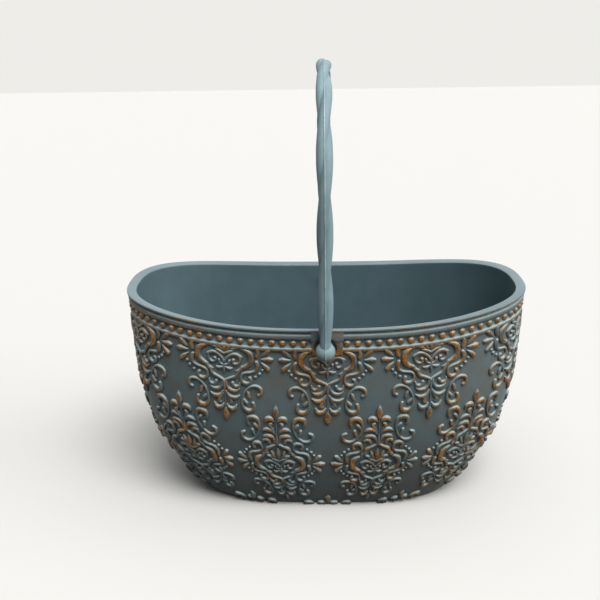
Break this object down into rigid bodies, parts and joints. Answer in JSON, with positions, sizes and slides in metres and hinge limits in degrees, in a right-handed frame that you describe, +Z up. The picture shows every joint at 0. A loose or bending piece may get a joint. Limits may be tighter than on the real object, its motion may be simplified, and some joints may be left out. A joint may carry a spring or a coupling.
{
  "type": "handled basket",
  "caption": "Oval moulded basket with a dipped rim, a beaded band and a twisted swing handle snapped into two pads.",
  "frame": {"origin": "middle of the base, on the surface it stands on", "axes": "+X along the length, +Y from the front to the back, +Z up"},
  "size_m": [0.3498, 0.2158, 0.3811],
  "materials": {
    "tub": "satin blue-grey with a brushed copper on the raised faces",
    "handle": "satin pale blue-grey"
  },
  "bodies": {
    "tub": {"tub": "tub"},
    "handle": {"handle": "handle"}
  },
  "joints": [
    {"name": "handle_swing", "type": "hinge", "parent": "tub", "child": "handle", "pos_m": [0, 0, 0.1645], "axis": [0, 1, 0], "range_deg": [-125, 125]}
  ]
}
